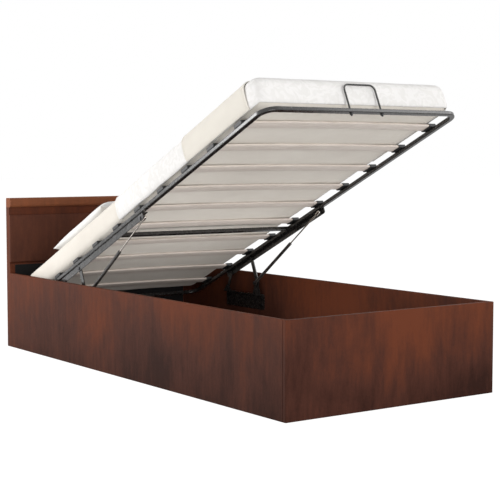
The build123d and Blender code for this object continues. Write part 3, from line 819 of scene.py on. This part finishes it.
def new_tree(name: str, floats: Sequence[str], counts: Sequence[str] = ()
             ) -> tuple[Graph, bpy.types.NodeOutputs]:
    """Start a Geometry Nodes tree with named inputs.

    Args:
        name: The tree's name.
        floats: The names of its lengths.
        counts: The names of its whole numbers.

    Returns:
        Its graph, and the sockets that give the inputs' values.
    """
    tree = bpy.data.node_groups.new(name, "GeometryNodeTree")
    face = tree.interface
    face.new_socket("Geometry", in_out="INPUT", socket_type="NodeSocketGeometry")
    for labels, kind in ((floats, "NodeSocketFloat"), (counts, "NodeSocketInt")):
        for label in labels:
            face.new_socket(label, in_out="INPUT", socket_type=kind)
    face.new_socket("Geometry", in_out="OUTPUT", socket_type="NodeSocketGeometry")
    graph = Graph(tree)
    return graph, graph.add("NodeGroupInput").outputs


def end_tree(graph: Graph, copies: bpy.types.NodeSocket, material: bpy.types.Material) -> bpy.types.NodeTree:
    """End a tree with real geometry in one material.

    Args:
        graph: The tree's graph.
        copies: The instances that it has made.
        material: Their material.

    Returns:
        The tree.
    """
    real = graph.fed("GeometryNodeRealizeInstances", {0: copies})
    dressed = graph.fed("GeometryNodeSetMaterial", {"Geometry": real}, {"Material": material})
    graph.link(dressed, graph.add("NodeGroupOutput").inputs[0])
    return graph.tree


@dataclass
class Slats:
    """The sprung slats: one curved lath repeated along the deck, in metres."""

    deck: DeckFrame
    count: int = 10
    pitch: float = 0.1865
    middle_v: float = 0.010
    length: float = 0.8904
    width: float = 0.045
    thickness: float = 0.008
    crown: float = 0.005
    edge: float = 0.002
    bend_points: int = 33
    edge_points: int = 3

    def tree(self, material: bpy.types.Material) -> bpy.types.NodeTree:
        """Build the node tree that bends one slat and repeats it.

        Args:
            material: The slats' finish.

        Returns:
            The tree.
        """
        lengths = ("Pitch", "Length", "Width", "Thickness", "Crown", "Edge")
        g, given = new_tree("slat_row", lengths, ("Count",))
        half = g.math("MULTIPLY", given["Length"], 0.5)
        start, end = g.along(0, g.math("MULTIPLY", half, -1.0)), g.along(0, half)
        line = g.fed("GeometryNodeCurvePrimitiveLine", {"Start": start, "End": end})
        points = g.fed("GeometryNodeResampleCurve", {"Curve": line}, {"Count": self.bend_points})
        position = g.separate(g.fed("GeometryNodeInputPosition", {}))
        share = g.math("DIVIDE", position[0], half)
        rise = g.math("MULTIPLY", given["Crown"], g.math("SUBTRACT", 1.0, g.math("MULTIPLY", share, share)))
        bent = g.fed("GeometryNodeSetPosition", {"Geometry": points, "Offset": g.along(2, rise)})
        section = g.fed(
            "GeometryNodeCurvePrimitiveQuadrilateral", {"Width": given["Width"], "Height": given["Thickness"]}
        )
        eased = g.fed(
            "GeometryNodeFilletCurve", {"Curve": section, "Radius": given["Edge"]},
            {"Count": self.edge_points}, mode="POLY",
        )
        solid = g.fed("GeometryNodeCurveToMesh", {"Curve": bent, "Profile Curve": eased}, {"Fill Caps": True})
        row = g.fed("GeometryNodeMeshLine", {"Count": given["Count"], "Offset": g.along(1, given["Pitch"])})
        copies = g.fed("GeometryNodeInstanceOnPoints", {"Points": row, "Instance": solid})
        return end_tree(g, copies, material)

    def make(self, material: bpy.types.Material) -> bpy.types.Object:
        """Build all the slats as one piece."""
        piece = add_object("sprung_slats", bpy.data.meshes.new("sprung_slats"), material, smooth=False)
        modifier = piece.modifiers.new("slats", "NODES")
        modifier.node_group = self.tree(material)
        sizes = {
            "Pitch": self.pitch, "Length": self.length, "Width": self.width,
            "Thickness": self.thickness, "Crown": self.crown, "Edge": self.edge, "Count": self.count,
        }
        set_inputs(modifier, sizes)
        applied(piece)
        first = self.middle_v - self.pitch * (self.count - 1) / 2
        piece.data.transform(Matrix.Translation((0, first, 0)))
        self.deck.place(piece.data)
        tidy_normals(piece.data)
        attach(piece, "deck")
        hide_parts(*[f"slat_{i}" for i in range(1, self.count + 1)])
        return piece


def set_inputs(modifier: bpy.types.NodesModifier, values: dict[str, float]) -> None:
    """Set a Geometry Nodes modifier's inputs by their names.

    Args:
        modifier: The modifier.
        values: Each input's value.
    """
    for item in modifier.node_group.interface.items_tree:
        if item.item_type == "SOCKET" and item.in_out == "INPUT" and item.name in values:
            modifier[item.identifier] = values[item.name]


def tidy_normals(mesh: bpy.types.Mesh) -> None:
    """Merge doubles and turn every face outwards."""
    work = bmesh.new()
    work.from_mesh(mesh)
    bmesh.ops.remove_doubles(work, verts=work.verts, dist=1e-6)
    bmesh.ops.recalc_face_normals(work, faces=work.faces)
    work.to_mesh(mesh)
    work.free()


@dataclass
class Stitches:
    """A row of thread stitches along a path, in metres."""

    length: float = 0.0042
    pitch: float = 0.0068
    radius: float = 0.00045
    sides: int = 6

    def tree(self, material: bpy.types.Material) -> bpy.types.NodeTree:
        """Build the node tree that lays stitches along edges."""
        g, given = new_tree("stitch_row", ("Stitch Length", "Pitch", "Thread Radius"))
        path = g.fed("GeometryNodeMeshToCurve", {0: given["Geometry"]})
        spots = g.fed("GeometryNodeResampleCurve", {"Curve": path, "Length": given["Pitch"]}, mode="LENGTH")
        thread = g.fed(
            "GeometryNodeMeshCylinder", {"Radius": given["Thread Radius"], "Depth": given["Stitch Length"]},
            {"Vertices": self.sides},
        )
        tangent = g.fed("GeometryNodeInputTangent", {})
        turn = g.fed("FunctionNodeAlignRotationToVector", {"Vector": tangent}, axis="Z")
        parts = {"Points": spots, "Instance": thread, "Rotation": turn}
        return end_tree(g, g.fed("GeometryNodeInstanceOnPoints", parts), material)

    def make(self, name: str, paths: Iterable[Sequence[Vector]], material: bpy.types.Material,
             body: str, slot: str) -> bpy.types.Object:
        """Lay stitches along open paths.

        Args:
            name: The piece's name.
            paths: Each path's points, in the bed's frame.
            material: The thread's material.
            body: The body that carries them.
            slot: Not used.

        Returns:
            The stitches as one plain mesh.
        """
        data = bpy.data.meshes.new(name)
        spots: list[Vector] = []
        edges: list[tuple[int, int]] = []
        for path in paths:
            start = len(spots)
            spots.extend(path)
            edges.extend((start + i, start + i + 1) for i in range(len(path) - 1))
        data.from_pydata(spots, edges, [])
        piece = add_object(name, data, material, smooth=False)
        modifier = piece.modifiers.new("stitches", "NODES")
        modifier.node_group = self.tree(material)
        sizes = {"Stitch Length": self.length, "Pitch": self.pitch, "Thread Radius": self.radius}
        set_inputs(modifier, sizes)
        applied(piece)
        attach(piece, body)
        return piece


@dataclass
class Steelwork:
    """The lift mechanism and the deck frame, which keep their CAD shapes and get their finishes."""

    black: tuple[str, ...] = (
        "corner_brackets", "lift_bracket_left", "lift_bracket_right", "front_link_left", "front_link_right",
        "rear_link_left", "rear_link_right", "side_rail_left", "side_rail_right", "foot_bow", "head_bow",
        "cross_tube", "carrier_left", "carrier_right", "carrier_flat_left", "carrier_flat_right",
        "mattress_stop_hoop", "rail_sleeves",
    )
    cylinders: tuple[str, ...] = ("strut_cylinder_left", "strut_cylinder_right")
    plated: tuple[str, ...] = (
        "bracket_screws", "lift_bracket_bolts", "base_pivot_pins", "carrier_bolts", "deck_pivot_pins",
        "hoop_nuts",
    )
    bright: tuple[str, ...] = ("strut_rod_left", "strut_rod_right")
    caps: tuple[str, ...] = ("slat_caps_left", "slat_caps_right")

    def dress(self) -> None:
        """Give each steel and plastic part its finish."""
        finishes = (
            (self.black, PowderCoat().make()),
            (self.cylinders, PowderCoat("strut_paint", "3A3633", 0.3).make()),
            (self.plated, BareMetal("dark_zinc", "4A4A4C", 0.35).make()),
            (self.bright, BareMetal("chromed_rod", "E4DED6", 0.16, 0.04).make()),
            (self.caps, MouldedPlastic().make()),
        )
        for nodes, material in finishes:
            for node in nodes:
                dress_node(node, material)


def dress_node(node: str, material: bpy.types.Material) -> None:
    """Assign a material to a CAD node's slots."""
    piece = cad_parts[node]
    if not piece.material_slots:
        piece.data.materials.append(material)
    for slot in piece.material_slots:
        slot.material = material


@dataclass
class Base:
    """The leathercloth storage base with its headboard."""

    covered: tuple[str, ...] = (
        "side_panel_left", "side_panel_right", "foot_panel", "headboard_lower", "headboard_upper",
    )
    battens: tuple[str, ...] = ("bottom_batten_foot", "bottom_batten_middle", "bottom_batten_head")
    boards: tuple[str, ...] = ("bottom_board_foot", "bottom_board_head")

    def dress(self) -> None:
        """Give the base its finishes."""
        for nodes, material in (
            (self.covered, Leathercloth().make()),
            # the roll gets a lighter copy of the leathercloth, partly its own smoother orange-brown and
            # partly painted light on the top; the pad gets a darker copy as painted shade
            (("headboard_roll",), Leathercloth("roll_leathercloth_painted_light", "5C3627", "744732", "885136").make()),
            (("headboard_pad",), Leathercloth("pad_leathercloth_painted_shade", "351F19", "4B2D24", "5F382A").make()),
            (self.battens, BareBoard("softwood", "B08A62", "94714D").make()),
            (self.boards, BareBoard("hardboard", "4A3428", "382620").make()),
            (("headboard_lining",), Cloth("black_lining", "161414", "0E0D0D", Weave.FELT, 0.0).make()),
        ):
            for node in nodes:
                dress_node(node, material)


@dataclass
class Studio:
    """The plain floor, the soft lights and the camera."""

    camera_place: Triple = (-2.9535, -4.3610, 0.8592)
    yaw: float = 35.3
    pitch_down: float = 4.098
    lens: float = 92.717
    sky: float = 0.5
    floor_reach: float = 40.0
    floor_drop: float = 0.0005
    floor_grey: float = 0.93
    floor_glow: float = 1.25
    glow_share: float = 0.72

    def make_camera(self) -> None:
        """Place the camera at the photograph's viewpoint."""
        data = bpy.data.cameras.new("camera")
        data.lens = self.lens
        data.sensor_width = 36.0
        data.clip_end = 100.0
        camera = bpy.data.objects.new("camera", data)
        camera.location = self.camera_place
        camera.rotation_euler = (math.radians(90 - self.pitch_down), 0, math.radians(-self.yaw))
        bpy.context.scene.collection.objects.link(camera)
        bpy.context.scene.camera = camera

    def make_world(self) -> None:
        """Light everything softly and show white behind the object and in its reflections."""
        world = bpy.data.worlds.new("studio")
        bpy.context.scene.world = world
        world.use_nodes = True
        g = Graph(world.node_tree)
        g.tree.nodes.clear()
        path = g.add("ShaderNodeLightPath")
        seen = g.math("MAXIMUM", path.outputs["Is Camera Ray"], path.outputs["Is Glossy Ray"])
        seen = g.math("MAXIMUM", seen, path.outputs["Is Transmission Ray"])
        level = g.span(seen, 0.0, 1.0, self.sky, 1.0)
        back = g.add("ShaderNodeBackground", {"Color": (1, 1, 1, 1)})
        g.link(level, back.inputs["Strength"])
        g.link(back.outputs[0], g.add("ShaderNodeOutputWorld").inputs["Surface"])

    def make_floor(self) -> None:
        """Lay a wide pale floor that keeps the object's shadow."""
        mesh = bpy.data.meshes.new("floor")
        work = bmesh.new()
        bmesh.ops.create_grid(work, x_segments=4, y_segments=4, size=self.floor_reach)
        work.to_mesh(mesh)
        work.free()
        material = bpy.data.materials.new("floor")
        material.use_nodes = True
        g = Graph(material.node_tree)
        g.tree.nodes.clear()
        path = g.add("ShaderNodeLightPath")
        share = g.math("MULTIPLY", path.outputs["Is Camera Ray"], self.glow_share)
        grey = (self.floor_grey, self.floor_grey, self.floor_grey, 1)
        diffuse = g.fed("ShaderNodeBsdfDiffuse", {}, {"Color": grey})
        glow = g.fed("ShaderNodeEmission", {}, {"Color": (1, 1, 1, 1), "Strength": self.floor_glow})
        mixed = g.fed("ShaderNodeMixShader", {0: share, 1: diffuse, 2: glow})
        g.link(mixed, g.add("ShaderNodeOutputMaterial").inputs["Surface"])
        floor = add_object("floor", mesh, material, smooth=False)
        floor.location.z = -self.floor_drop

    def add_lamp(self, name: str, place: Triple, aim: Triple, size: float, power: float) -> bpy.types.Object:
        """Add a square soft lamp.

        Args:
            name: Its name.
            place: Where it stands.
            aim: The point it faces.
            size: Its side in metres.
            power: Its power in watts.

        Returns:
            The lamp.
        """
        data = bpy.data.lights.new(name, "AREA")
        data.shape = "SQUARE"
        data.size = size
        data.energy = power
        lamp = bpy.data.objects.new(name, data)
        lamp.location = place
        lamp.rotation_euler = (Vector(aim) - Vector(place)).to_track_quat("-Z", "Y").to_euler()
        bpy.context.scene.collection.objects.link(lamp)
        return lamp

    def make_lights(self) -> None:
        """Add a key from the front, a wide panel that the rails mirror, and two fills."""
        self.add_lamp("key", (-0.9, -5.6, 1.3), (0, -0.2, 0.6), size=2.4, power=130)
        self.add_lamp("left_panel", (-5.0, 3.6, 1.8), (0, 0.4, 0.6), size=3.0, power=280)
        self.add_lamp("right_fill", (5.0, -3.0, 3.5), (0, 0, 0.5), size=3.0, power=80)
        fill = self.add_lamp("storage_fill", (0, -0.1, 0.05), (0, -0.1, 1.0), size=0.75, power=2.4)
        fill.visible_camera = fill.visible_glossy = False


def make_stitching(bedding: Bedding, material: bpy.types.Material) -> None:
    """Sew the hems of the quilt and the runner.

    Args:
        bedding: The soft parts that have the hems.
        material: The thread's material.
    """
    deck = bedding.deck.matrix()
    lowest_w = 0.03
    quilt_seam, runner_seam = 0.014, 0.012
    quilt_swell, runner_swell = 0.0021, 0.0012

    def across(v: float, out: float) -> list[Vector]:
        """Give a path over the mattress at one place along it."""
        half, top, r = bedding.half_width + out, bedding.top_w + out, bedding.edge + out
        path = [Vector((-half, v, lowest_w))]
        for side in (-1, 1):
            turn = range(0, 91, 10) if side < 0 else range(90, -1, -10)
            for angle in turn:
                a = math.radians(angle)
                path.append(Vector((side * (half - r + r * math.cos(a)), v, top - r + r * math.sin(a))))
        path.append(Vector((half, v, lowest_w)))
        return [deck @ p for p in path]

    quilt_out = bedding.gap + bedding.quilt_thickness + quilt_swell
    quilt_path = across(bedding.quilt_head - quilt_seam, quilt_out)
    Stitches().make("quilt_hem_stitches", [quilt_path], material, "deck", "quilt_cloth")
    runner_out = quilt_out + bedding.gap + bedding.runner_thickness + runner_swell
    ends = (bedding.runner_head - runner_seam, bedding.runner_foot + runner_seam)
    runner_paths = [across(v, runner_out) for v in ends]
    Stitches().make("runner_hem_stitches", runner_paths, material, "deck", "runner_cloth")


def main() -> None:
    """Build the looks of the bed and report each piece."""
    logging.basicConfig(level=logging.INFO, format="%(message)s")
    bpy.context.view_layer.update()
    deck = DeckFrame()
    studio = Studio()
    studio.make_camera()
    studio.make_world()
    studio.make_floor()
    studio.make_lights()
    Base().dress()
    Steelwork().dress()
    bedding = Bedding(deck)
    tilt = deck.tilt
    ticking = Cloth("mattress_ticking", "E2DCD2", "D8D1C7", Weave.PLAIN, tilt)
    quilt_cotton = Cloth("quilt_cotton", "EAE8E6", "E3E1DE", Weave.DAMASK, tilt, crease=0.16)
    runner_wool = Cloth("runner_wool", "E0DBD1", "D7D1C7", Weave.PLAIN, tilt, crease=0.2)
    pillow_cotton = Cloth("pillow_cotton", "EAE8E6", "E2E0DD", Weave.PLAIN, tilt, crease=0.25)
    thread = Cloth("thread", "DAD4CA", "C9C2B6", Weave.FELT, tilt)
    pieces = [
        Slats(deck).make(SlatFilm().make()),
        bedding.make_mattress(ticking.make()),
        bedding.make_quilt(quilt_cotton.make()),
        bedding.make_runner(runner_wool.make()),
        bedding.make_pillow(pillow_cotton.make()),
    ]
    make_stitching(bedding, thread.make())
    for piece in pieces:
        LOG.info("%s: %d faces", piece.name, len(piece.data.polygons))
    bpy.context.scene.view_settings.view_transform = "Standard"


if __name__ == "__main__":
    main()
